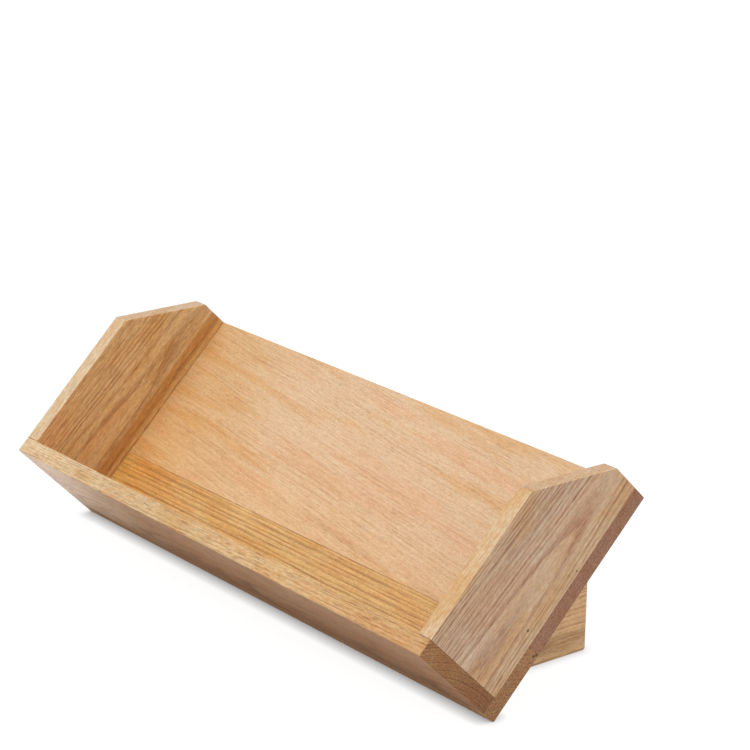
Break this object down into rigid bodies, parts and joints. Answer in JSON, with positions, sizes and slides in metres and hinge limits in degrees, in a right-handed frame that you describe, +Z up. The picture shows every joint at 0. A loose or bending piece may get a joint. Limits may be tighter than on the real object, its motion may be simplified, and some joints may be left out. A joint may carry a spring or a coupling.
{
  "type": "bottle display shelf",
  "caption": "Open oak trough tilted back on two triangular feet, with chamfered end panels, to stand bottles side by side leaning on its back board.",
  "frame": {"origin": "on the table, under the middle of the shelf's bounding box", "axes": "+X along the shelf to its right end seen from the front, +Y to the back, +Z up"},
  "size_m": [0.482, 0.1918, 0.1543],
  "materials": {
    "upper_back_oak": "oiled flat-sawn oak, peach-tan",
    "lower_back_oak": "oiled flat-sawn oak, golden",
    "bottom_oak": "oiled rift-sawn oak",
    "left_panel_oak": "oiled oak with dark upright stripes",
    "right_panel_oak": "oiled oak with reddish upright stripes",
    "left_foot_oak": "oiled oak, grain front to back",
    "right_foot_oak": "oiled oak, grain front to back",
    "birch_dowel": "plain fluted birch"
  },
  "bodies": {
    "root": {"back_board_upper": "upper_back_oak", "back_board_lower": "lower_back_oak", "bottom_board": "bottom_oak", "end_panel_left": "left_panel_oak", "end_panel_right": "right_panel_oak", "foot_left": "left_foot_oak", "foot_right": "right_foot_oak", "dowel_seat_1": "birch_dowel", "dowel_seat_2": "birch_dowel", "dowel_seat_3": "birch_dowel", "dowel_seat_4": "birch_dowel", "dowel_left_panel_base_1": "birch_dowel", "dowel_left_panel_base_2": "birch_dowel", "dowel_left_panel_back_1": "birch_dowel", "dowel_left_panel_back_2": "birch_dowel", "dowel_left_panel_back_3": "birch_dowel", "dowel_left_foot_1": "birch_dowel", "dowel_left_foot_2": "birch_dowel", "dowel_left_foot_3": "birch_dowel", "dowel_right_panel_base_1": "birch_dowel", "dowel_right_panel_base_2": "birch_dowel", "dowel_right_panel_back_1": "birch_dowel", "dowel_right_panel_back_2": "birch_dowel", "dowel_right_panel_back_3": "birch_dowel", "dowel_right_foot_1": "birch_dowel", "dowel_right_foot_2": "birch_dowel", "dowel_right_foot_3": "birch_dowel"}
  },
  "joints": []
}
